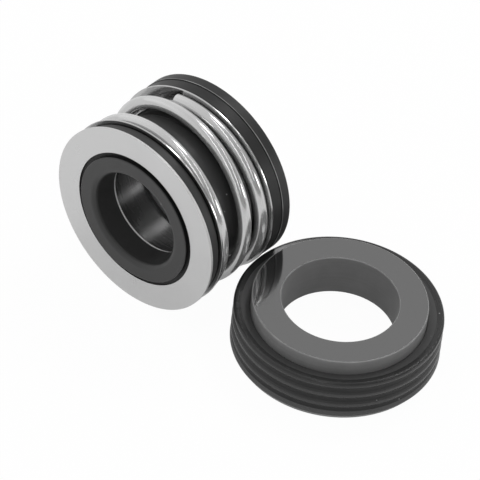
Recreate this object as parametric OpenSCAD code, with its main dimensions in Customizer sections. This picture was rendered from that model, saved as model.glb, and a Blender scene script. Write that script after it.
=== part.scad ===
// Mechanical shaft seal with a rubber bellows, in two units laid out on a bench.
// The rotary head lies on its side. Its back ring faces -Y and its sealing face +Y.
// The stationary seat lies flat with its sealing face up. The origin is on the seat's axis,
// at the underside of the seat ring, with +Z up.

/* [Shaft] */
// Diameter of the shaft that the seal is made for
shaft_d = 16; // [14:0.1:17.5]
// How much smaller the free rubber bore is than the shaft
bore_squeeze = 0.4; // [0.1:0.05:0.8]
// Space all round between the shaft and the face ring
face_ring_play = 0.7; // [0.5:0.05:1.2]
// Space all round between the shaft and the seat ring
seat_ring_play = 1; // [0.6:0.05:2]

/* [Head] */
// Outer diameter of the head, over the flat steel ring at its back
head_d = 31.3; // [30:0.1:35]
// How much further in than the back ring the edges of the spring collars lie
collar_inset = 0.05; // [0:0.01:0.5]
// The same for the rubber flange between the back ring and the rear collar
tail_inset = 0.65; // [0.2:0.05:1]
// The same for the rubber cup that holds the face ring
head_cup_inset = 0.25; // [0.05:0.05:0.8]
// The same for the rim of the face ring
rim_inset = 0.15; // [0.05:0.05:0.8]

/* [Back ring] */
// Width of the flat steel ring
back_ring_w = 4.25; // [3.2:0.05:4.6]
// Thickness of the flat steel ring
back_ring_t = 0.4; // [0.3:0.05:0.8]

/* [Bellows] */
// Thickness of the rubber wall where it folds
wall_t = 1.4; // [0.9:0.05:1.8]
// Length of the tight bore that grips the shaft, with its rounded edges
grip_len = 5; // [3.5:0.1:6]
// Radius of the rounded entry of the bore
entry_r = 0.9; // [0.3:0.1:1.4]
// How far the rubber boss stands out of the back ring
boss_h = 0.37; // [0.1:0.01:1]
// Width of the groove between the boss and the hole of the back ring
boss_step = 0.65; // [0.3:0.05:1]
// How far the rubber at the bottom of that groove stands above the flange, to centre the ring
plug_h = 0.15; // [0.1:0.01:0.3]
// Thickness of the rubber flange between the back ring and the rear collar
tail_flange_t = 2.05; // [1:0.05:3]
// Depth of the groove round the barrel at which the wall folds
fold_depth = 1.5; // [0.8:0.1:2]
// Thickness of the rubber round the stem of the face ring
neck_wall = 1.1; // [0.7:0.05:1.6]
// Width of the rim of the cup that holds the face ring
head_cup_w = 2.1; // [1.4:0.05:4]

/* [Spring] */
// Diameter of the spring wire
wire_d = 2.05; // [1.4:0.05:2.3]
// Free length of the spring, between the two collars
spring_len = 11; // [10.4:0.1:14]
// Turns of the closed, flat stretch at each end
closed_turns = 0.54; // [0.3:0.01:0.56]
// Turns of the sloping stretch between the closed ends
open_turns = 1.73; // [1.4:0.01:1.8]
// Share of the sloping stretch over which the slope builds up
slope_blend = 0.12; // [0.05:0.01:0.2]
// Play between the spring and the collar inside it
spring_play = 0.15; // [0.05:0.01:0.4]
// Where round the head the wire's front end is cut, seen from the back
front_end_angle = -107.6; // [-180:0.1:180]

/* [Spring collars] */
// Thickness of the collars' steel sheet
collar_t = 0.3; // [0.2:0.05:0.5]
// How far the collar's flange stands out past the spring
collar_lip = 0.3; // [0.1:0.05:0.8]
// Length of the collar's sleeve inside the spring, with the flange
collar_len = 2.2; // [1.2:0.1:2.6]

/* [Face ring] */
// Width of the rim
rim_w = 1.75; // [1:0.05:3]
// Length of the stem that is held in the rubber
stem_len = 4.4; // [3.6:0.1:4.6]
// How far in from the rim the raised sealing nose starts
nose_inset = 3; // [2:0.1:3.6]
// How far out from the bore the nose ends
nose_step = 1.5; // [0.4:0.1:2]
// Height of the sealing nose
nose_h = 1; // [0.5:0.1:1.6]

/* [Seat ring] */
// Thickness of the seat ring's wall, from its bore outwards
seat_ring_w = 4.5; // [3:0.1:6]
// Height of the seat ring
seat_ring_h = 7.15; // [5.5:0.05:9]
// How far the ring stands out of the rubber cup
seat_stand = 2.5; // [1:0.1:3.5]

/* [Seat cup] */
// Thickness of the rubber round the ring, over its ribs
seat_cup_w = 2.55; // [1.8:0.05:4]
// Height of the rubber lip under the seat ring
lip_h = 2.75; // [1.5:0.05:4]
// Width of the lip that the ring sits on
lip_w = 1.5; // [0.8:0.1:3]
// How far the cup's rim rises above its inner edge
rim_rise = 0.5; // [0.1:0.05:0.9]
// Radius of the rounded edge of that rim
rim_round = 0.5; // [0.2:0.05:0.8]
// Number of ribs round the cup
ribs = 4; // [2:1:5]
// Depth of the grooves between the ribs
rib_depth = 0.35; // [0.1:0.05:0.6]
// Width of the flat land on the crest of each rib
rib_land = 0.3; // [0.1:0.05:0.6]
// Width of the chamfer at the bottom edge
foot_chamfer = 0.75; // [0.3:0.05:1.2]

/* [Edges and fits] */
// Chamfer on the edges of the face ring and the seat ring
ring_chamfer = 0.2; // [0.05:0.05:0.4]
// Rounding of the rubber's edges
rubber_round = 0.3; // [0.1:0.05:0.5]
// Play between pieces that touch
seat_gap = 0.05; // [0.02:0.01:0.1]

/* [Layout] */
// How far the back of the head lies in front of the seat's axis
head_back = 14.8; // [0:0.1:30]
// Space between the head and the seat
stand_apart = 0.05; // [0.05:0.05:20]

/* [Hidden] */
$fn = 128;

// Segments of each rounded corner in a section
corner_steps = 6;
// Segments of one rib with its groove
rib_steps = 12;
// Sides of the wire, and degrees between its rings
wire_sides = 16;
ring_step = 7.5;

// Radii of the head, from the outside inwards
head_r = head_d / 2;
flange_r = head_r - collar_inset;
tail_flange_r = head_r - tail_inset;
head_cup_r = head_r - head_cup_inset;
rim_r = head_r - rim_inset;
coil_r = flange_r - collar_lip - wire_d / 2;
sleeve_r = coil_r - wire_d / 2 - spring_play;
barrel_r = sleeve_r - collar_t - seat_gap;
back_hole_r = head_r - back_ring_w;
boss_r = back_hole_r - boss_step;
fold_r = barrel_r - fold_depth;
chamber_r = fold_r - wall_t;
stem_r = barrel_r - neck_wall - seat_gap;
nose_r = rim_r - nose_inset;

// Radii round the shaft, and of the seat from there outwards
grip_r = (shaft_d - bore_squeeze) / 2;
face_bore_r = shaft_d / 2 + face_ring_play;
nose_bore_r = face_bore_r + nose_step;
seat_bore_r = shaft_d / 2 + seat_ring_play;
seat_ring_r = seat_bore_r + seat_ring_w;
cup_r = seat_ring_r + seat_gap + seat_cup_w;
cup_hole_r = seat_ring_r - lip_w;

// Stations along the head, from the outer face of the back ring towards the sealing face
rear_collar_at = back_ring_t + tail_flange_t + 2 * seat_gap;
spring_at = rear_collar_at + collar_t;
front_collar_at = spring_at + spring_len;
cup_at = front_collar_at + collar_t + seat_gap;
rim_at = cup_at + head_cup_w + seat_gap;
face_at = rim_at + rim_w;
stem_at = rim_at - stem_len;
neck_at = front_collar_at + collar_t - collar_len - rubber_round - seat_gap;
fold_at = neck_at - fold_depth / 2;

// Levels of the seat, counted from the underside of the seat ring
bench_z = -lip_h - seat_gap;
shoulder_z = seat_ring_h - seat_stand;
rim_z = shoulder_z + rim_rise;
foot_z = bench_z + 1.5 * foot_chamfer;

// The head lies on the bench beside the rounded rim of the seat's cup
head_z = bench_z + head_r;
front_r = max(flange_r, head_cup_r, rim_r);
rim_reach = sqrt(pow(front_r + rim_round, 2) - pow(head_z - rim_z + rim_round, 2));
head_x = -(cup_r - rim_round + rim_reach + stand_apart);

// Points of an arc round [x, y] with radius r, from angle from to angle to
function arc(x, y, r, from, to) = [
    for (i = [0 : corner_steps])
        let (a = from + (to - from) * i / corner_steps)
        [x + r * cos(a), y + r * sin(a)]
];

// Turns a section drawn as [radius, station] into a ring on the head's axis
module on_head(section) {
    translate([head_x, -head_back, head_z])
        rotate([-90, 0, 0])
        rotate_extrude()
        polygon(section);
}

// Turns a section drawn as [radius, level] into a ring on the seat's axis
module on_seat(section) {
    rotate_extrude()
        polygon(section);
}

// Flat ring pressed from sheet, with its four edges rounded
module back_ring() {
    edge = back_ring_t / 4;
    inner = back_hole_r;
    outer = head_r;
    color([0.75, 0.75, 0.75])
        on_head(concat(
            arc(inner + edge, edge, edge, 180, 270),
            arc(outer - edge, edge, edge, 270, 360),
            arc(outer - edge, back_ring_t - edge, edge, 0, 90),
            arc(inner + edge, back_ring_t - edge, edge, 90, 180)
        ));
}

// Section of a collar with its flange at station 0 and its sleeve towards +station
function collar_section() =
    let (inner = barrel_r + seat_gap, bend = 2 * collar_t, edge = collar_t / 4)
    concat(
        arc(inner + bend, bend, bend, 180, 270),
        arc(flange_r - edge, edge, edge, 270, 360),
        arc(flange_r - edge, collar_t - edge, edge, 0, 90),
        arc(sleeve_r + collar_t, 2 * collar_t, collar_t, 270, 180),
        arc(sleeve_r - edge, collar_len - edge, edge, 0, 90),
        arc(inner + edge, collar_len - edge, edge, 90, 180)
    );

// Collar that the back end of the spring stands on
module rear_collar() {
    color([0.72, 0.72, 0.72])
        on_head([for (p = collar_section()) [p[0], rear_collar_at + p[1]]]);
}

// The same collar turned round, pushed by the front end of the spring
module front_collar() {
    color([0.72, 0.72, 0.72])
        on_head([for (p = collar_section()) [p[0], front_collar_at + collar_t - p[1]]]);
}

// One moulded piece: boss and grip, tail flange, barrel, fold, neck and cup
module bellows() {
    r = rubber_round;
    plug_r = back_hole_r - seat_gap;
    flange_back = back_ring_t + seat_gap;
    plug_at = flange_back - plug_h;
    flange_front = rear_collar_at - seat_gap;
    grip_end = grip_len - boss_h;
    pocket_r = stem_r + seat_gap;
    pocket_at = stem_at - seat_gap;
    fold_half = fold_depth / 2;
    color([0.24, 0.24, 0.24])
        on_head(concat(
            // grip on the shaft, from its deep edge back to the entry
            arc(grip_r + r, grip_end - r, r, 90, 180),
            arc(grip_r + entry_r, entry_r - boss_h, entry_r, 180, 270),
            // boss, and the groove beside it
            arc(boss_r - r / 2, r / 2 - boss_h, r / 2, 270, 360),
            [[boss_r, plug_at], [plug_r, plug_at], [plug_r, flange_back]],
            // flange behind the rear collar
            arc(tail_flange_r - r, flange_back + r, r, 270, 360),
            arc(tail_flange_r - r, flange_front - r, r, 0, 90),
            // barrel, fold and neck
            [[barrel_r + collar_t, flange_front], [barrel_r, flange_front + collar_t]],
            arc(barrel_r - r, fold_at - fold_half - r, r, 0, 90),
            arc(fold_r + fold_half, fold_at, fold_half, 270, 90),
            arc(barrel_r - r, neck_at + r, r, 270, 360),
            // cup round the stem of the face ring
            [[barrel_r, cup_at - collar_t], [barrel_r + collar_t, cup_at]],
            arc(head_cup_r - r, cup_at + r, r, 270, 360),
            arc(head_cup_r - r / 2, cup_at + head_cup_w - r / 2, r / 2, 0, 90),
            [[pocket_r, cup_at + head_cup_w], [pocket_r, pocket_at]],
            // smooth chamber between the stem and the grip
            arc(chamber_r + r, pocket_at - r, r, 90, 180),
            arc(chamber_r - r, grip_end + r, r, 0, -90)
        ));
}

// Share of the rise reached at share u of the sloping stretch
function eased(u) =
    let (k = slope_blend, v = min(max(u, 0), 1))
    v < k ? v * v / (2 * k * (1 - k))
    : v < 1 - k ? (v - k / 2) / (1 - k)
    : 1 - pow(1 - v, 2) / (2 * k * (1 - k));

// Coil spring with closed ends, wound from its front end to the back
module spring() {
    wire_r = wire_d / 2;
    total = 360 * (2 * closed_turns + open_turns);
    rings = ceil(total / ring_step);
    front = front_collar_at - seat_gap - wire_r;
    back = spring_at + seat_gap + wire_r;
    function station(a) =
        front - (front - back) * eased((a / 360 - closed_turns) / open_turns);
    function slope(a) = (station(a + 1) - station(a - 1)) / (coil_r * PI / 90);
    function ring_point(a, b) =
        let (
            turn = front_end_angle + a,
            lean = slope(a),
            out = wire_r * cos(b),
            up = wire_r * sin(b) / sqrt(1 + lean * lean)
        )
        [
            (coil_r + out) * cos(turn) + up * lean * sin(turn),
            (coil_r + out) * sin(turn) - up * lean * cos(turn),
            station(a) + up
        ];
    points = [
        for (i = [0 : rings], j = [0 : wire_sides - 1])
            ring_point(total * i / rings, 360 * j / wire_sides)
    ];
    function corner(i, j) = i * wire_sides + j % wire_sides;
    sides = [
        for (i = [0 : rings - 1], j = [0 : wire_sides - 1])
            each [
                [corner(i, j), corner(i, j + 1), corner(i + 1, j + 1)],
                [corner(i, j), corner(i + 1, j + 1), corner(i + 1, j)]
            ]
    ];
    front_end = [for (j = [wire_sides - 1 : -1 : 0]) corner(0, j)];
    back_end = [for (j = [0 : wire_sides - 1]) corner(rings, j)];
    color([0.85, 0.85, 0.85])
        translate([head_x, -head_back, head_z])
        rotate([-90, 0, 0])
        polyhedron(points, concat(sides, [front_end, back_end]));
}

// Face ring: stem in the rubber, rim of the head's full size, and the raised nose that seals
module face_ring() {
    c = ring_chamfer;
    nose_top = face_at + nose_h;
    color([0.3, 0.3, 0.31])
        on_head([
            [face_bore_r, stem_at + c], [face_bore_r + c, stem_at],
            [stem_r - c, stem_at], [stem_r, stem_at + c],
            [stem_r, rim_at],
            [rim_r - c, rim_at], [rim_r, rim_at + c],
            [rim_r, face_at - c], [rim_r - c, face_at],
            [nose_r, face_at], [nose_r, nose_top],
            [nose_bore_r, nose_top], [nose_bore_r, face_at],
            [face_bore_r + c, face_at], [face_bore_r, face_at - c]
        ]);
}

// Seat ring, lapped on top
module seat_ring() {
    c = ring_chamfer;
    color([0.44, 0.44, 0.45])
        on_seat([
            [seat_bore_r, 0], [seat_ring_r - c, 0], [seat_ring_r, c],
            [seat_ring_r, seat_ring_h - c], [seat_ring_r - c, seat_ring_h],
            [seat_bore_r + c, seat_ring_h], [seat_bore_r, seat_ring_h - c]
        ]);
}

// Rubber cup round the seat ring, ribbed outside to seal in its housing
module seat_cup() {
    inner = seat_ring_r + seat_gap;
    rim_corner = rim_z - rim_round;
    pitch = (rim_corner - rib_land - foot_z) / (ribs - 1);
    groove_w = pitch - rib_land;
    grooves = [
        for (n = [0 : ribs - 2], i = [0 : rib_steps])
            let (share = i / rib_steps)
            [
                cup_r - rib_depth * (1 - cos(360 * share)) / 2,
                foot_z + rib_land + n * pitch + groove_w * share
            ]
    ];
    color([0.22, 0.22, 0.22])
        on_seat(concat(
            [[cup_hole_r, bench_z], [cup_r - foot_chamfer, bench_z], [cup_r, foot_z]],
            grooves,
            arc(cup_r - rim_round, rim_corner, rim_round, 0, 90),
            [[inner, shoulder_z], [inner, -seat_gap], [cup_hole_r, -seat_gap]]
        ));
}

back_ring();
rear_collar();
bellows();
spring();
front_collar();
face_ring();
seat_ring();
seat_cup();
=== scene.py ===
import bpy
import bmesh
import math
from mathutils import Matrix, Vector


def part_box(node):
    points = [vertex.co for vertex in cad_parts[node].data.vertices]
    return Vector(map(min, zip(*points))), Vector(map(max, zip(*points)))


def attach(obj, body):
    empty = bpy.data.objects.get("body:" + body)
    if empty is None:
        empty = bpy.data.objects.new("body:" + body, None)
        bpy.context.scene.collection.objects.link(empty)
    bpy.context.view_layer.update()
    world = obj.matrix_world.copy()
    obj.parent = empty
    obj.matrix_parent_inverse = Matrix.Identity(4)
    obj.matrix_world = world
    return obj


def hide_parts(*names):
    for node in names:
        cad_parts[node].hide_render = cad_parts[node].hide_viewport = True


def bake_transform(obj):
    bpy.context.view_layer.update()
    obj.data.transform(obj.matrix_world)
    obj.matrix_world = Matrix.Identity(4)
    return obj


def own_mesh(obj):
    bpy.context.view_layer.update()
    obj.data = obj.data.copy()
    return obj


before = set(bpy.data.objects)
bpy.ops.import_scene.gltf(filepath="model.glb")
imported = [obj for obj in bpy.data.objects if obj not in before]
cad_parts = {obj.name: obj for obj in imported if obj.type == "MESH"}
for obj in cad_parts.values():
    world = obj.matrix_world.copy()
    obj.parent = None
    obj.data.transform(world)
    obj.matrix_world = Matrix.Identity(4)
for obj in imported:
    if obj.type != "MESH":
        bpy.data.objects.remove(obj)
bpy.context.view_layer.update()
print("frame loaded:", ", ".join(sorted(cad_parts)))

mm = 0.001
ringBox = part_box("back_ring")
headAxis = Vector(((ringBox[0].x + ringBox[1].x) / 2, 0, (ringBox[0].z + ringBox[1].z) / 2))
headBack = ringBox[0].y  # outer face of the back ring; stations along the head count from here
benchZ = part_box("seat_cup")[0].z


# Small helpers for node trees
def addNode(tree, kind, **settings):
    node = tree.nodes.new("ShaderNode" + kind)
    for key, value in settings.items():
        setattr(node, key, value)
    return node


def link(tree, value, slot):
    # value is a constant or another node's output
    if hasattr(value, "links"):
        tree.links.new(value, slot)
    else:
        slot.default_value = value


def mathNode(tree, operation, a, b=0.0, clamp=False):
    node = addNode(tree, "Math", operation=operation, use_clamp=clamp)
    link(tree, a, node.inputs[0])
    link(tree, b, node.inputs[1])
    return node.outputs[0]


def plus(tree, a, b, clamp=False):
    return mathNode(tree, "ADD", a, b, clamp)


def times(tree, a, b):
    return mathNode(tree, "MULTIPLY", a, b)


def ramp(tree, value, low, high):
    # 0 where value is at low, 1 where it is at high, and smooth between them
    node = addNode(tree, "MapRange", interpolation_type="SMOOTHSTEP")
    link(tree, value, node.inputs["Value"])
    node.inputs["From Min"].default_value = min(low, high)
    node.inputs["From Max"].default_value = max(low, high)
    node.inputs["To Min"].default_value = 0.0 if low < high else 1.0
    node.inputs["To Max"].default_value = 1.0 if low < high else 0.0
    return node.outputs[0]


def rampMm(tree, value, low, high):
    return ramp(tree, value, low * mm, high * mm)


def band(tree, value, low, high):
    # 1 where value lies between low and high, both in mm
    soft = 0.04
    rising = rampMm(tree, value, low - soft, low + soft)
    return times(tree, rising, rampMm(tree, value, high + soft, high - soft))


def greyColour(value):
    return value, value, value, 1


def greyMix(tree, factor, first, second):
    # first and second are greys or colour sockets
    mix = addNode(tree, "Mix", data_type="RGBA")
    link(tree, factor, mix.inputs[0])
    slots = [s for s in mix.inputs if s.type == "RGBA"]
    for slot, value in zip(slots, (first, second)):
        link(tree, value if hasattr(value, "links") else greyColour(value), slot)
    return [s for s in mix.outputs if s.type == "RGBA"][0]


def shaderMix(tree, factor, first, second):
    mix = addNode(tree, "MixShader")
    link(tree, factor, mix.inputs[0])
    tree.links.new(first.outputs[0], mix.inputs[1])
    tree.links.new(second.outputs[0], mix.inputs[2])
    return mix.outputs[0]


# Camera: a long lens, rolled a little to the left
shot = {
    "azimuth": 37.15,
    "elevation": 43.6,
    "roll": 6.91,
    "distance": 1.0,
    "frameWidth": 0.07269,  # what the picture's width covers at the target
    "target": (-0.015862, -0.005888, 0.012289),
}


def aimCamera():
    azimuth, elevation, roll = (math.radians(shot[key]) for key in ("azimuth", "elevation", "roll"))
    ahead = Vector((-math.sin(azimuth), math.cos(azimuth), 0))
    right = Vector((math.cos(azimuth), math.sin(azimuth), 0))
    up = ahead * math.sin(elevation) + Vector((0, 0, math.cos(elevation)))
    back = right.cross(up)
    rolledRight = right * math.cos(roll) + up * math.sin(roll)
    rolledUp = up * math.cos(roll) - right * math.sin(roll)
    data = bpy.data.cameras.new("camera")
    data.sensor_width = 36
    data.lens = data.sensor_width * shot["distance"] / shot["frameWidth"]
    data.clip_start = shot["distance"] / 10
    data.clip_end = shot["distance"] * 10
    camera = bpy.data.objects.new("camera", data)
    bpy.context.scene.collection.objects.link(camera)
    turn = Matrix((rolledRight, rolledUp, back)).transposed().to_4x4()
    camera.matrix_world = Matrix.Translation(Vector(shot["target"]) + back * shot["distance"]) @ turn
    bpy.context.scene.camera = camera


aimCamera()
print("camera set")


# Lamps, world and floor: two long strips overhead and small lamps right and behind, in a pale tent
studio = {
    "lamps": [
        # name, centre from the target, long direction, length, width, brightness (1 is white)
        ("frontStrip", (0.245, -0.46, 0.62), (0.566, -0.824, 0), 1.75, 0.028, 6.5),
        ("sideStrip", (0.635, 0.17, 0.62), (0.82, -0.57, 0), 1.47, 0.028, 6.5),
        ("lowRight", (0.486, 0.342, 0.11), (0.57, -0.82, 0), 0.12, 0.12, 9.0),
        ("highBehind", (-0.045, 0.342, 0.492), (1, 0, 0), 0.14, 0.14, 11.0),
    ],
    "ambient": (1.03, 0.28),  # of the tent: at the far left and at the far right
    "floorSize": 3.0,
    "floorGap": 0.02,  # mm below the object
    "floorColour": 0.9,
    "floorGlow": 1.0,
    "glowShare": 0.97,  # of what the camera sees of the floor; the rest is its own light and shadow
    "glowShareMirrored": 0.35,
}


def addLamps():
    middle = Vector(shot["target"])
    for name, centre, along, length, width, brightness in studio["lamps"]:
        data = bpy.data.lights.new(name, "AREA")
        data.shape = "RECTANGLE"
        data.size = length
        data.size_y = width
        data.energy = brightness * math.pi * length * width
        lamp = bpy.data.objects.new(name, data)
        bpy.context.scene.collection.objects.link(lamp)
        # an area lamp shines down its own -Z, so Z points away from the object
        away = Vector(centre).normalized()
        across = away.cross(Vector(along)).normalized()
        longSide = across.cross(away)
        turn = Matrix((longSide, across, away)).transposed().to_4x4()
        lamp.matrix_world = Matrix.Translation(middle + Vector(centre)) @ turn
        lamp.visible_camera = False


def seenDirectly(tree, path):
    # 1 for camera and transmission rays
    return mathNode(tree, "MAXIMUM", path.outputs["Is Camera Ray"], path.outputs["Is Transmission Ray"])


def buildWorld():
    world = bpy.data.worlds.new("studio")
    bpy.context.scene.world = world
    world.use_nodes = True
    tree = world.node_tree
    tree.nodes.clear()
    way = addNode(tree, "SeparateXYZ")
    tree.links.new(addNode(tree, "TexCoord").outputs["Generated"], way.inputs[0])
    fade = addNode(tree, "MapRange")
    tree.links.new(way.outputs["X"], fade.inputs["Value"])
    fade.inputs["From Min"].default_value = -1
    fade.inputs["From Max"].default_value = 1
    fade.inputs["To Min"].default_value = studio["ambient"][0]
    fade.inputs["To Max"].default_value = studio["ambient"][1]
    tent = addNode(tree, "Background")
    white = addNode(tree, "Background")
    for paint in (tent, white):
        paint.inputs["Color"].default_value = greyColour(1)
    tree.links.new(fade.outputs[0], tent.inputs["Strength"])
    seen = seenDirectly(tree, addNode(tree, "LightPath"))
    out = addNode(tree, "OutputWorld")
    tree.links.new(shaderMix(tree, seen, tent, white), out.inputs["Surface"])


def buildFloor():
    bm = bmesh.new()
    bmesh.ops.create_grid(bm, x_segments=1, y_segments=1, size=studio["floorSize"] / 2)
    bmesh.ops.translate(bm, verts=bm.verts, vec=(0, 0, benchZ - studio["floorGap"] * mm))
    mesh = bpy.data.meshes.new("floor")
    bm.to_mesh(mesh)
    bm.free()
    floor = bpy.data.objects.new("floor", mesh)
    bpy.context.scene.collection.objects.link(floor)
    paper = bpy.data.materials.new("paperWhite")
    paper.use_nodes = True
    tree = paper.node_tree
    tree.nodes.clear()
    matt = addNode(tree, "BsdfDiffuse")
    matt.inputs["Color"].default_value = greyColour(studio["floorColour"])
    glow = addNode(tree, "Emission")
    glow.inputs["Strength"].default_value = studio["floorGlow"]
    path = addNode(tree, "LightPath")
    seen = times(tree, seenDirectly(tree, path), studio["glowShare"])
    mirrored = times(tree, path.outputs["Is Glossy Ray"], studio["glowShareMirrored"])
    out = addNode(tree, "OutputMaterial")
    tree.links.new(shaderMix(tree, plus(tree, seen, mirrored), matt, glow), out.inputs["Surface"])
    mesh.materials.append(paper)


addLamps()
buildWorld()
buildFloor()
bpy.context.scene.view_settings.view_transform = "Standard"
print("studio lit")


def newGroup(name, inputs, outputs):
    group = bpy.data.node_groups.new(name, "ShaderNodeTree")
    for label, kind, value in inputs:
        socket = group.interface.new_socket(name=label, in_out="INPUT", socket_type="NodeSocket" + kind)
        if value is not None:
            socket.default_value = value
    for label, kind in outputs:
        group.interface.new_socket(name=label, in_out="OUTPUT", socket_type="NodeSocket" + kind)
    return group, group.nodes.new("NodeGroupInput"), group.nodes.new("NodeGroupOutput")


def placeGroup(tree, group, vector, **values):
    node = addNode(tree, "Group", node_tree=group)
    tree.links.new(vector, node.inputs["Vector"])
    for key, value in values.items():
        node.inputs[key].default_value = value
    return node.outputs


# Effects that several finishes share
effects = {
    "mottleDetail": 4,
    "turnedDetail": 2,
    "cleanCells": 0.93,  # share of the dust's cells that stay empty
}


def buildMottle():
    # soft uneven patches: a value round 0
    inputs = [("Vector", "Vector", None), ("Scale", "Float", 400.0), ("Amount", "Float", 0.1)]
    group, entry, out = newGroup("mottle", inputs, [("Value", "Float")])
    noise = addNode(group, "TexNoise")
    noise.inputs["Detail"].default_value = effects["mottleDetail"]
    group.links.new(entry.outputs["Vector"], noise.inputs["Vector"])
    group.links.new(entry.outputs["Scale"], noise.inputs["Scale"])
    centred = mathNode(group, "SUBTRACT", noise.outputs[0], 0.5)
    group.links.new(times(group, centred, entry.outputs["Amount"]), out.inputs["Value"])
    return group


def buildRound():
    # place on a round piece: radius from its axis and height along it
    inputs = [("Vector", "Vector", None)]
    group, entry, out = newGroup("roundPlace", inputs, [("Radius", "Float"), ("Height", "Float")])
    parts = addNode(group, "SeparateXYZ")
    group.links.new(entry.outputs["Vector"], parts.inputs[0])
    squares = [times(group, parts.outputs[side], parts.outputs[side]) for side in ("X", "Y")]
    group.links.new(mathNode(group, "SQRT", plus(group, *squares)), out.inputs["Radius"])
    group.links.new(parts.outputs["Z"], out.inputs["Height"])
    return group


def buildTurned(roundPlace):
    # fine marks of a lathe or a mould, running round the axis: a value from 0 to 1
    inputs = [("Vector", "Vector", None), ("Scale", "Float", 3000.0)]
    group, entry, out = newGroup("turned", inputs, [("Value", "Float")])
    place = placeGroup(group, roundPlace, entry.outputs["Vector"])
    along = plus(group, place["Radius"], place["Height"])
    noise = addNode(group, "TexNoise", noise_dimensions="1D")
    noise.inputs["Detail"].default_value = effects["turnedDetail"]
    noise.inputs["Scale"].default_value = 1
    group.links.new(times(group, along, entry.outputs["Scale"]), noise.inputs["W"])
    group.links.new(noise.outputs[0], out.inputs["Value"])
    return group


def buildSpecks():
    # a few grains of pale dust: 1 on a grain, 0 elsewhere
    inputs = [("Vector", "Vector", None), ("Scale", "Float", 350.0), ("Size", "Float", 0.05)]
    group, entry, out = newGroup("specks", inputs, [("Mask", "Float")])
    cells = addNode(group, "TexVoronoi")
    group.links.new(entry.outputs["Vector"], cells.inputs["Vector"])
    group.links.new(entry.outputs["Scale"], cells.inputs["Scale"])
    near = mathNode(group, "LESS_THAN", cells.outputs["Distance"], entry.outputs["Size"])
    parts = addNode(group, "SeparateColor")
    group.links.new(cells.outputs["Color"], parts.inputs[0])
    chosen = mathNode(group, "GREATER_THAN", parts.outputs[0], effects["cleanCells"])
    group.links.new(times(group, near, chosen), out.inputs["Mask"])
    return group


mottle = buildMottle()
roundPlace = buildRound()
turned = buildTurned(roundPlace)
specks = buildSpecks()


def newMaterial(name, grey, metallic, roughness, ior=1.5, specular=0.5):
    material = bpy.data.materials.new(name)
    material.use_nodes = True
    tree = material.node_tree
    shader = tree.nodes["Principled BSDF"]
    shader.inputs["Base Color"].default_value = greyColour(grey)
    shader.inputs["Metallic"].default_value = metallic
    shader.inputs["Roughness"].default_value = roughness
    shader.inputs["IOR"].default_value = ior
    shader.inputs["Specular IOR Level"].default_value = specular
    return material, tree, shader, addNode(tree, "TexCoord").outputs["Object"]


def mapped(tree, vector, place=(0, 0, 0), turn=(0, 0, 0), scale=(1, 1, 1)):
    # place, turn and scale are those of the pattern's own frame
    node = addNode(tree, "Mapping", vector_type="TEXTURE")
    node.inputs["Location"].default_value = place
    node.inputs["Rotation"].default_value = turn
    node.inputs["Scale"].default_value = scale
    tree.links.new(vector, node.inputs["Vector"])
    return node.outputs[0]


def bumpFrom(tree, shader, height, strength, depth):
    # depth is in mm
    bump = addNode(tree, "Bump")
    bump.inputs["Strength"].default_value = strength
    bump.inputs["Distance"].default_value = depth * mm
    tree.links.new(height, bump.inputs["Height"])
    tree.links.new(bump.outputs[0], shader.inputs["Normal"])


# a round piece's own frame: its place and how its axis, the pattern's Z, is turned
onHeadAxis = ((headAxis.x, headBack, headAxis.z), (math.radians(-90), 0, 0))
onSeatAxis = ((0, 0, 0), (0, 0, 0))


# Sheet steel of the back ring and the collars
sheet = {
    "grainScale": 2500.0,
    "grainSqueeze": 0.2,  # in height, so that the grain runs level
    "patchScale": 170.0,
    "toneSpread": 0.09,  # greys above and below the piece's own
    "shearedFade": 0.03,  # mm
    "shearedDull": 0.3,  # roughness that the sheared edge has more
    "bump": 0.05,
    "bumpDepth": 0.02,
}


def sheetSteel(name, look):
    material, tree, shader, vector = newMaterial(name, look["grey"], 1.0, look["roughness"])
    drawnOut = mapped(tree, vector, scale=(1, 1, sheet["grainSqueeze"]))
    grain = placeGroup(tree, mottle, drawnOut, Scale=sheet["grainScale"], Amount=look["grain"])[0]
    patches = placeGroup(tree, mottle, vector, Scale=sheet["patchScale"], Amount=look["patches"])[0]
    uneven = plus(tree, grain, patches)
    place = placeGroup(tree, roundPlace, mapped(tree, vector, *onHeadAxis))
    shearedFrom = look["shearedFrom"]
    sheared = rampMm(tree, place["Radius"], shearedFrom - sheet["shearedFade"], shearedFrom)
    dull = plus(tree, look["roughness"], times(tree, sheared, sheet["shearedDull"]))
    tree.links.new(plus(tree, uneven, dull), shader.inputs["Roughness"])
    tone = plus(tree, uneven, 0.5, clamp=True)
    darkest, palest = look["grey"] - sheet["toneSpread"], look["grey"] + sheet["toneSpread"]
    tree.links.new(greyMix(tree, tone, darkest, palest), shader.inputs["Base Color"])
    bumpFrom(tree, shader, grain, sheet["bump"], sheet["bumpDepth"])
    return material


# Moulded rubber of the bellows and the seat's cup
rubberSkin = {
    "patchScale": 260.0,
    "patchAmount": 0.9,
    "toneSpread": 0.2,  # share of the piece's grey, above and below it
    "marksInRoughness": 0.06,
    "patchesInRoughness": 0.25,
    "dustScale": 900.0,
    "dustSize": 0.09,
    "bumpDepth": 0.03,
}


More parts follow.
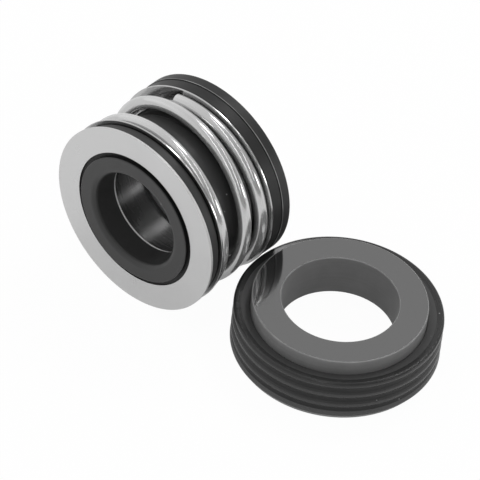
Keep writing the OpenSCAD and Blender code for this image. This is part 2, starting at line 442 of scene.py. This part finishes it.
def mouldedRubber(name, axis, look):
    # regions are (inner radius, outer radius, low station, high station, grey, added roughness)
    material, tree, shader, vector = newMaterial(
        name, look["grey"], 0.0, look["roughness"], specular=look["shine"]
    )
    skin = rubberSkin
    own = mapped(tree, vector, *axis)
    place = placeGroup(tree, roundPlace, own)
    patches = placeGroup(tree, mottle, vector, Scale=skin["patchScale"], Amount=skin["patchAmount"])[0]
    marks = placeGroup(tree, turned, own, Scale=look["marks"])[0]
    dust = placeGroup(tree, specks, vector, Scale=skin["dustScale"], Size=skin["dustSize"])[0]
    tone = plus(tree, patches, 0.5, clamp=True)
    darkest, palest = look["grey"] * (1 - skin["toneSpread"]), look["grey"] * (1 + skin["toneSpread"])
    base = greyMix(tree, tone, darkest, palest)
    fromMarks = times(tree, marks, skin["marksInRoughness"])
    uneven = plus(tree, fromMarks, times(tree, patches, skin["patchesInRoughness"]))
    rough = plus(tree, uneven, look["roughness"] - skin["marksInRoughness"] / 2)
    for inner, outer, low, high, grey, dull in look["regions"]:
        across = band(tree, place["Radius"], inner, outer)
        inside = times(tree, across, band(tree, place["Height"], low, high))
        base = greyMix(tree, inside, base, grey)
        rough = plus(tree, rough, times(tree, inside, dull))
    tree.links.new(greyMix(tree, dust, base, look["dust"]), shader.inputs["Base Color"])
    tree.links.new(rough, shader.inputs["Roughness"])
    bumpFrom(tree, shader, marks, look["bump"], skin["bumpDepth"])
    return material


# Hard rings: rough as they were turned or ground, and lapped above one height
hardSkin = {
    "patchScale": 300.0,
    "patchAmount": 0.6,
    "toneSpread": 0.25,  # share of the piece's grey, above and below it
    "marksInTone": 0.4,
    "marksInRoughness": 0.3,  # share of the piece's roughness
    "paintedHighlightWidth": (0.08, 0.02),  # mm from the edge where the painted highlight starts and where it is full
    "paintedHighlightWhere": (-0.25, 0.2),  # patches below the first get no painted highlight, above the second the full one
    "bumpDepth": 0.02,
}


def turnedRing(name, axis, look):
    material, tree, shader, vector = newMaterial(
        name, look["grey"], 0.0, look["roughness"], ior=look["ior"]
    )
    skin = hardSkin
    own = mapped(tree, vector, *axis)
    place = placeGroup(tree, roundPlace, own)
    marks = placeGroup(tree, turned, own, Scale=look["marks"])[0]
    patches = placeGroup(tree, mottle, vector, Scale=skin["patchScale"], Amount=skin["patchAmount"])[0]
    fromMarks = plus(tree, times(tree, marks, skin["marksInTone"]), 0.5 - skin["marksInTone"] / 2)
    tone = plus(tree, patches, fromMarks, clamp=True)
    darkest, palest = look["grey"] * (1 - skin["toneSpread"]), look["grey"] * (1 + skin["toneSpread"])
    ground = greyMix(tree, tone, darkest, palest)
    # another grey towards one end of the ring: on the face ring, painted light on the shaded stem; on the
    # seat ring, darker towards the bottom
    paler = rampMm(tree, place["Height"], *look["palerAt"])
    ground = greyMix(tree, paler, ground, look["palerGrey"])
    # painted highlight: pale lines along the given edges, in patches
    for station in look["paintedHighlightEdges"]:
        off = mathNode(tree, "ABSOLUTE", mathNode(tree, "SUBTRACT", place["Height"], station * mm))
        paintedHighlight = times(tree, rampMm(tree, off, *skin["paintedHighlightWidth"]), ramp(tree, patches, *skin["paintedHighlightWhere"]))
        ground = greyMix(tree, paintedHighlight, ground, look["paintedHighlightGrey"])
    lapped = rampMm(tree, place["Height"], *look["lappedAt"])
    tree.links.new(greyMix(tree, lapped, ground, look["lappedGrey"]), shader.inputs["Base Color"])
    shader.inputs["Coat IOR"].default_value = look["lappedIor"]
    shader.inputs["Coat Roughness"].default_value = look["lappedRoughness"]
    tree.links.new(lapped, shader.inputs["Coat Weight"])
    spread = times(tree, marks, look["roughness"] * skin["marksInRoughness"])
    rough = plus(tree, spread, look["roughness"] * (1 - skin["marksInRoughness"] / 2))
    smooth = times(tree, lapped, look["roughness"] - look["lappedRoughness"])
    tree.links.new(mathNode(tree, "SUBTRACT", rough, smooth), shader.inputs["Roughness"])
    unlapped = mathNode(tree, "SUBTRACT", 1.0, lapped)
    bumpFrom(tree, shader, times(tree, marks, unlapped), look["bump"], skin["bumpDepth"])
    return material


def finishPiece(bm, name, material, body, node):
    for face in bm.faces:
        face.smooth = True
    creased = math.radians(35)
    for edge in bm.edges:
        edge.smooth = edge.calc_face_angle(0) < creased
    mesh = bpy.data.meshes.new(name)
    bm.to_mesh(mesh)
    bm.free()
    mesh.materials.append(material)
    piece = bpy.data.objects.new(name, mesh)
    bpy.context.scene.collection.objects.link(piece)
    if body:
        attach(piece, body)
    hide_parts(node)
    return piece


def onHead(radius, station):
    return headAxis.x + radius * mm, headBack + station * mm, headAxis.z


def onSeat(radius, level):
    return radius * mm, 0, level * mm


# Meshes of round pieces: a section with rounded corners, spun about the piece's axis
headFrame = {"place": onHead, "centre": headAxis, "axis": (0, 1, 0)}
seatFrame = {"place": onSeat, "centre": (0, 0, 0), "axis": (0, 0, 1)}
spinning = {
    "steps": 240,  # round the axis
    "cornerSteps": 5,
    "flatMargin": 0.02,  # mm
    "doubledWithin": 0.001,  # mm
}


def spinRing(corners, about):
    # corners are (radius, station, rounding) in mm, in order round the closed section
    bm = bmesh.new()
    section = [bm.verts.new(about["place"](radius, station)) for radius, station, _ in corners]
    for a, b in zip(section, section[1:] + section[:1]):
        bm.edges.new((a, b))
    for rounding in sorted({c[2] for c in corners} - {0}):
        chosen = [v for v, c in zip(section, corners) if c[2] == rounding]
        bmesh.ops.bevel(
            bm, geom=chosen, offset=rounding * mm, segments=spinning["cornerSteps"], profile=0.5,
            affect="VERTICES", material=-1, clamp_overlap=False,
        )
    # two roundings that meet leave a doubled point
    bmesh.ops.remove_doubles(bm, verts=bm.verts, dist=spinning["doubledWithin"] * mm)
    # keep the walls' shading flat right up to their rounded edges
    margin = spinning["flatMargin"] * mm
    for edge in [e for e in bm.edges if e.calc_length() > 6 * margin]:
        first, second = edge.verts
        length = edge.calc_length()
        middle = bmesh.utils.edge_split(edge, first, margin / length)[1]
        rest = next(e for e in middle.link_edges if second in e.verts)
        bmesh.utils.edge_split(rest, second, margin / (length - margin))
    bmesh.ops.spin(
        bm, geom=bm.verts[:] + bm.edges[:], cent=about["centre"], axis=about["axis"],
        dvec=(0, 0, 0), angle=math.tau, steps=spinning["steps"], use_merge=True,
    )
    bmesh.ops.recalc_face_normals(bm, faces=bm.faces)
    return bm


# Flat steel ring at the back of the head
backRing = {
    "corners": [(11.4, 0, 0.03), (15.65, 0, 0.03), (15.65, 0.4, 0.03), (11.4, 0.4, 0.03)],
    "look": {"grey": 0.65, "roughness": 0.38, "grain": 0.12, "patches": 0.5, "shearedFrom": 15.63},
}


def buildBackRing():
    steel = sheetSteel("satinRingSteel", backRing["look"])
    ring = spinRing(backRing["corners"], headFrame)
    finishPiece(ring, "backRing", steel, "back_and_seat", "back_ring")


buildBackRing()
print("back ring pressed")


# Steel collars that the spring stands between
collar = {
    # section from the flange's outer face at 0 towards the end of the sleeve
    "corners": [
        (12.8, 0, 0.6), (15.6, 0, 0.07), (15.6, 0.3, 0.07),
        (13.1, 0.3, 0.3), (13.1, 2.2, 0.07), (12.8, 2.2, 0.07),
    ],
    "rearFlange": 2.55,  # station of the flange's outer face
    "frontFlange": 14.15,
    # sheared only past the rim, so the whole collar is bright
    "look": {"grey": 0.50, "roughness": 0.18, "grain": 0.08, "patches": 0.08, "shearedFrom": 16.0},
}
collarSteel = sheetSteel("brightCollarSteel", collar["look"])


def buildCollar(name, node, body, flange, way):
    corners = [(radius, flange + way * station, rounded) for radius, station, rounded in collar["corners"]]
    finishPiece(spinRing(corners, headFrame), name, collarSteel, body, node)


buildCollar("rearCollar", "rear_collar", "back_and_seat", collar["rearFlange"], 1)
buildCollar("frontCollar", "front_collar", "front", collar["frontFlange"], -1)
print("collars pressed")


# Rubber bellows, one moulding from the boss to the cup round the face ring
bellows = {
    "corners": [
        (7.8, 4.63, 0.7), (7.8, -0.37, 0.9), (10.75, -0.37, 0.15),
        (10.75, 0.3, 0), (11.35, 0.3, 0), (11.35, 0.45, 0),
        (15.0, 0.45, 0.3), (15.0, 2.5, 0.3), (13.05, 2.5, 0), (12.75, 2.8, 0),
        (12.75, 10.1, 0.3), (11.25, 10.1, 0.75), (11.25, 11.6, 0.75), (12.75, 11.6, 0.3),
        (12.75, 13.9, 0), (13.05, 14.2, 0), (15.4, 14.2, 0.3), (15.4, 16.3, 0.05),
        (11.65, 16.3, 0), (11.65, 11.9, 0), (9.85, 11.9, 0.02), (9.85, 4.63, 0.3),
    ],
    "stillTo": 5.0,  # in the real seal, the wall up to here stays with the back of the head
    "movesFrom": 11.6,  # in the real seal, the wall from here on goes with the face ring
    "look": {
        "grey": 0.012, "dust": 0.4, "roughness": 0.50, "shine": 0.35,
        "marks": 2600.0, "bump": 0.03,
        "regions": [
            (7.95, 10.8, -1.0, 1.0, 0.041, -0.15),  # boss
            (10.72, 11.5, -0.2, 1.0, 0.006, 0.0),  # groove round the boss, painted darker: painted shade in the groove
            (7.0, 7.95, 0.0, 3.9, 0.030, -0.1),  # grip
            (7.0, 7.93, 3.98, 4.42, 0.95, -0.3),  # painted highlight along the grip's deep edge
            (8.7, 9.95, 4.0, 12.0, 0.026, -0.22),  # chamber
            (9.6, 9.95, 11.3, 12.0, 0.09, 0.0),  # its deep end, painted paler: painted light where it lies in shade
            (11.2, 12.9, 2.8, 13.9, 0.030, 0.0),  # barrel
            (14.9, 15.1, 0.4, 2.6, 0.034, 0.0),  # edge of the rear flange
        ],
    },
}


def buildBellows():
    rubber = mouldedRubber("bellowsRubber", onHeadAxis, bellows["look"])
    moulding = spinRing(bellows["corners"], headFrame)
    piece = finishPiece(moulding, "rubberBellows", rubber, None, "bellows")
    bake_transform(piece)


buildBellows()
print("bellows moulded")


# Face ring, with its stem in the rubber and the raised nose that seals
faceRing = {
    "corners": [
        (8.7, 11.95, 0.2), (11.6, 11.95, 0.2), (11.6, 16.35, 0), (15.5, 16.35, 0.06),
        (15.5, 18.1, 0.15), (12.5, 18.1, 0), (12.5, 19.1, 0.05), (10.2, 19.1, 0.05),
        (10.2, 18.1, 0), (8.7, 18.1, 0.2),
    ],
    # each At is the station where the change starts and the one where it is full
    "look": {
        "grey": 0.018, "roughness": 0.48, "ior": 1.4, "marks": 2600.0, "bump": 0.20,
        # a pale line along the rim's edge at 16.45: painted highlight; the stem painted paler below 14.5:
        # painted light on its shaded back face in the chamber
        "paintedHighlightEdges": [16.45], "paintedHighlightGrey": 0.45, "palerAt": (14.5, 12.5), "palerGrey": 0.28,
        "lappedAt": (19.05, 19.09), "lappedGrey": 0.02, "lappedRoughness": 0.12, "lappedIor": 2.0,
    },
}


def buildFaceRing():
    carbon = turnedRing("turnedCarbon", onHeadAxis, faceRing["look"])
    ring = spinRing(faceRing["corners"], headFrame)
    finishPiece(ring, "faceRing", carbon, "front", "face_ring")


buildFaceRing()
print("face ring turned")


# Seat ring: ground round the outside and in the bore, lapped on top
seatRing = {
    "corners": [(9.0, 0, 0.1), (13.5, 0, 0.2), (13.5, 7.15, 0.2), (9.0, 7.15, 0.2)],
    "look": {
        "grey": 0.180, "roughness": 0.55, "ior": 1.5, "marks": 2200.0, "bump": 0.03,
        # painted highlight: a pale line along the top edges at 7.08, in patches
        "paintedHighlightEdges": [7.08], "paintedHighlightGrey": 0.3, "palerAt": (0.3, 0.0), "palerGrey": 0.14,
        "lappedAt": (7.1485, 7.1499), "lappedGrey": 0.015, "lappedRoughness": 0.08, "lappedIor": 2.12,
    },
}


def buildSeatRing():
    ceramic = turnedRing("lappedSiliconCarbide", onSeatAxis, seatRing["look"])
    ring = spinRing(seatRing["corners"], seatFrame)
    finishPiece(ring, "seatRing", ceramic, "back_and_seat", "seat_ring")


buildSeatRing()
print("seat ring lapped")


# Rubber cup of the seat, ribbed outside
seatCup = {
    "foot": -2.8,
    "firstRib": -1.675,
    "lastRib": 4.35,
    "rim": 5.15,
    "ribs": 4,
    "radius": 16.1,
    "hole": 12.0,
    "pocket": 13.55,
    "pocketFloor": -0.05,
    "pocketRim": 4.65,
    "groove": 0.35,
    "land": 0.3,
    "footChamfer": 0.75,
    "ribRound": 0.12,
    "grooveRound": 0.4,
    "rimRound": 0.5,
    "pocketRound": 0.1,
    "look": {
        "grey": 0.025, "dust": 0.35, "roughness": 0.26, "shine": 0.36,
        "marks": 3000.0, "bump": 0.12,
        "regions": [
            (15.5, 15.92, -1.6, 4.3, 0.012, 0.25),  # between the ribs, painted darker: painted shade in the grooves
            (16.05, 16.2, -1.2, 4.4, 0.046, 0.0),  # painted highlight along the crests
            (15.0, 16.2, -3.0, -0.9, 0.070, 0.0),  # foot
            (13.4, 14.9, 4.4, 5.2, 0.060, 0.2),  # shoulder beside the ring, painted paler: painted light over its shadow
        ],
    },
}


def cupSection():
    cup = seatCup
    radius, ribRound = cup["radius"], cup["ribRound"]
    step = (cup["lastRib"] - cup["firstRib"]) / (cup["ribs"] - 1)
    flank = (step - cup["land"]) / 2
    corners = [
        (cup["hole"], cup["foot"], 0), (radius - cup["footChamfer"], cup["foot"], ribRound),
        (radius, cup["firstRib"], ribRound),
    ]
    for n in range(cup["ribs"] - 1):
        crest = cup["firstRib"] + cup["land"] + n * step
        corners += [
            (radius, crest, ribRound), (radius - cup["groove"], crest + flank, cup["grooveRound"]),
            (radius, crest + 2 * flank, ribRound),
        ]
    return corners + [
        (radius, cup["rim"], cup["rimRound"]), (cup["pocket"], cup["pocketRim"], cup["pocketRound"]),
        (cup["pocket"], cup["pocketFloor"], 0), (cup["hole"], cup["pocketFloor"], 0),
    ]


def buildSeatCup():
    rubber = mouldedRubber("seatCupRubber", onSeatAxis, seatCup["look"])
    moulding = spinRing(cupSection(), seatFrame)
    finishPiece(moulding, "ribbedSeatCup", rubber, "back_and_seat", "seat_cup")


buildSeatCup()
print("seat cup moulded")


# Coil spring with closed ends
spring = {
    "wire": 2.05,
    "coilRadius": 14.275,
    "front": 12.775,  # station of the wire's centre at the front end
    "back": 3.925,
    "closedTurns": 0.54,
    "openTurns": 1.73,
    "slopeBlend": 0.12,
    "frontEnd": -107.6,  # degrees round the head, seen from the back
    "sides": 40,
    "stepDegrees": 3.0,
    "endBevel": 0.06,
    "endBevelSteps": 3,
    "anchor": 2.85,  # station that stays still in the real seal when the head is pressed in
    "freeLength": 11.0,
    "travel": 2.5,
    "look": {
        "grey": 0.62, "roughness": 0.17, "bump": 0.008, "bumpDepth": 0.02,
        "bare": 0.75,  # bare metal; the rest is a dull drawing film
        "markWidth": 0.07,  # of the drawing marks, beside their length in centimetres along the wire
        "marksInRoughness": 0.08, "toneSpread": 0.09,
        "smudgeScale": 300.0, "smudgeAmount": 0.5,
    },
}


def drawnWire(look):
    material, tree, shader, vector = newMaterial(
        "brightDrawnWire", look["grey"], look["bare"], look["roughness"]
    )
    # drawing marks run along the wire: long in U, narrow in V
    onWire = addNode(tree, "UVMap", uv_map="wire").outputs[0]
    alongWire = mapped(tree, onWire, scale=(1, look["markWidth"], 1))
    marks = placeGroup(tree, mottle, alongWire, Scale=1.0, Amount=1.0)[0]
    smudge = placeGroup(tree, mottle, vector, Scale=look["smudgeScale"], Amount=look["smudgeAmount"])[0]
    tone = plus(tree, plus(tree, marks, smudge), 0.5, clamp=True)
    darkest, palest = look["grey"] - look["toneSpread"], look["grey"] + look["toneSpread"]
    tree.links.new(greyMix(tree, tone, darkest, palest), shader.inputs["Base Color"])
    rough = times(tree, marks, look["marksInRoughness"])
    tree.links.new(plus(tree, rough, look["roughness"]), shader.inputs["Roughness"])
    bumpFrom(tree, shader, marks, look["bump"], look["bumpDepth"])
    return material


def easedRise(share):
    # from 0 to 1, even in the middle and eased over the blend at each end
    blend = spring["slopeBlend"]
    done = min(max(share, 0), 1)
    if done < blend:
        return done * done / (2 * blend * (1 - blend))
    if done < 1 - blend:
        return (done - blend / 2) / (1 - blend)
    return 1 - (1 - done) ** 2 / (2 * blend * (1 - blend))


def windWire():
    turns = 2 * spring["closedTurns"] + spring["openTurns"]
    steps = round(360 * turns / spring["stepDegrees"])
    stepAngle = math.radians(360 * turns / steps)
    coilRadius = spring["coilRadius"]

    def station(i):
        opened = (turns * i / steps - spring["closedTurns"]) / spring["openTurns"]
        return spring["front"] - (spring["front"] - spring["back"]) * easedRise(opened)

    bm = bmesh.new()
    wireMap = bm.loops.layers.uv.new("wire")
    # the wire's section stands in the plane through the head's axis
    section = (
        Matrix.Translation(onHead(0, station(0)))
        @ Matrix.Rotation(math.radians(spring["frontEnd"]), 4, "Y")
        @ Matrix.Translation((coilRadius * mm, 0, 0))
    )
    wireRadius = spring["wire"] / 2 * mm
    bmesh.ops.create_circle(bm, cap_ends=False, segments=spring["sides"], radius=wireRadius, matrix=section)
    ring = list(bm.edges)
    firstRing = list(ring)
    for i in range(steps):
        grown = bmesh.ops.extrude_edge_only(bm, edges=ring)["geom"]
        verts = {g for g in grown if isinstance(g, bmesh.types.BMVert)}
        ring = [g for g in grown if isinstance(g, bmesh.types.BMEdge) and verts.issuperset(g.verts)]
        turn = Matrix.Rotation(stepAngle, 3, "Y")
        bmesh.ops.rotate(bm, verts=list(verts), cent=headAxis, matrix=turn)
        bmesh.ops.translate(bm, verts=list(verts), vec=(0, (station(i + 1) - station(i)) * mm, 0))
        for face in (g for g in grown if isinstance(g, bmesh.types.BMFace)):
            # U runs along the wire in centimetres, V once round it
            for loop in face.loops:
                at = i + (loop.vert in verts)
                out = loop.vert.co - Vector(onHead(0, station(at)))
                beyond = math.hypot(out.x, out.z) - coilRadius * mm
                roundWire = math.atan2(out.y, beyond) / math.tau + 0.5
                loop[wireMap].uv = (at * stepAngle * coilRadius / 10, roundWire)
            # keep each face's share of the turn together where the angle wraps
            if max(loop[wireMap].uv.y for loop in face.loops) > 0.75:
                for loop in face.loops:
                    if loop[wireMap].uv.y < 0.25:
                        loop[wireMap].uv.y += 1
    for end in (firstRing, ring):
        bmesh.ops.contextual_create(bm, geom=end)
    bmesh.ops.bevel(
        bm, geom=firstRing + ring, offset=spring["endBevel"] * mm, segments=spring["endBevelSteps"],
        profile=0.5, affect="EDGES", material=-1, clamp_overlap=True,
    )
    bmesh.ops.recalc_face_normals(bm, faces=bm.faces)
    return bm


def buildSpring():
    wire = drawnWire(spring["look"])
    piece = finishPiece(windWire(), "coilSpring", wire, "back_and_seat", "spring")
    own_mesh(piece)


buildSpring()
print("spring wound")
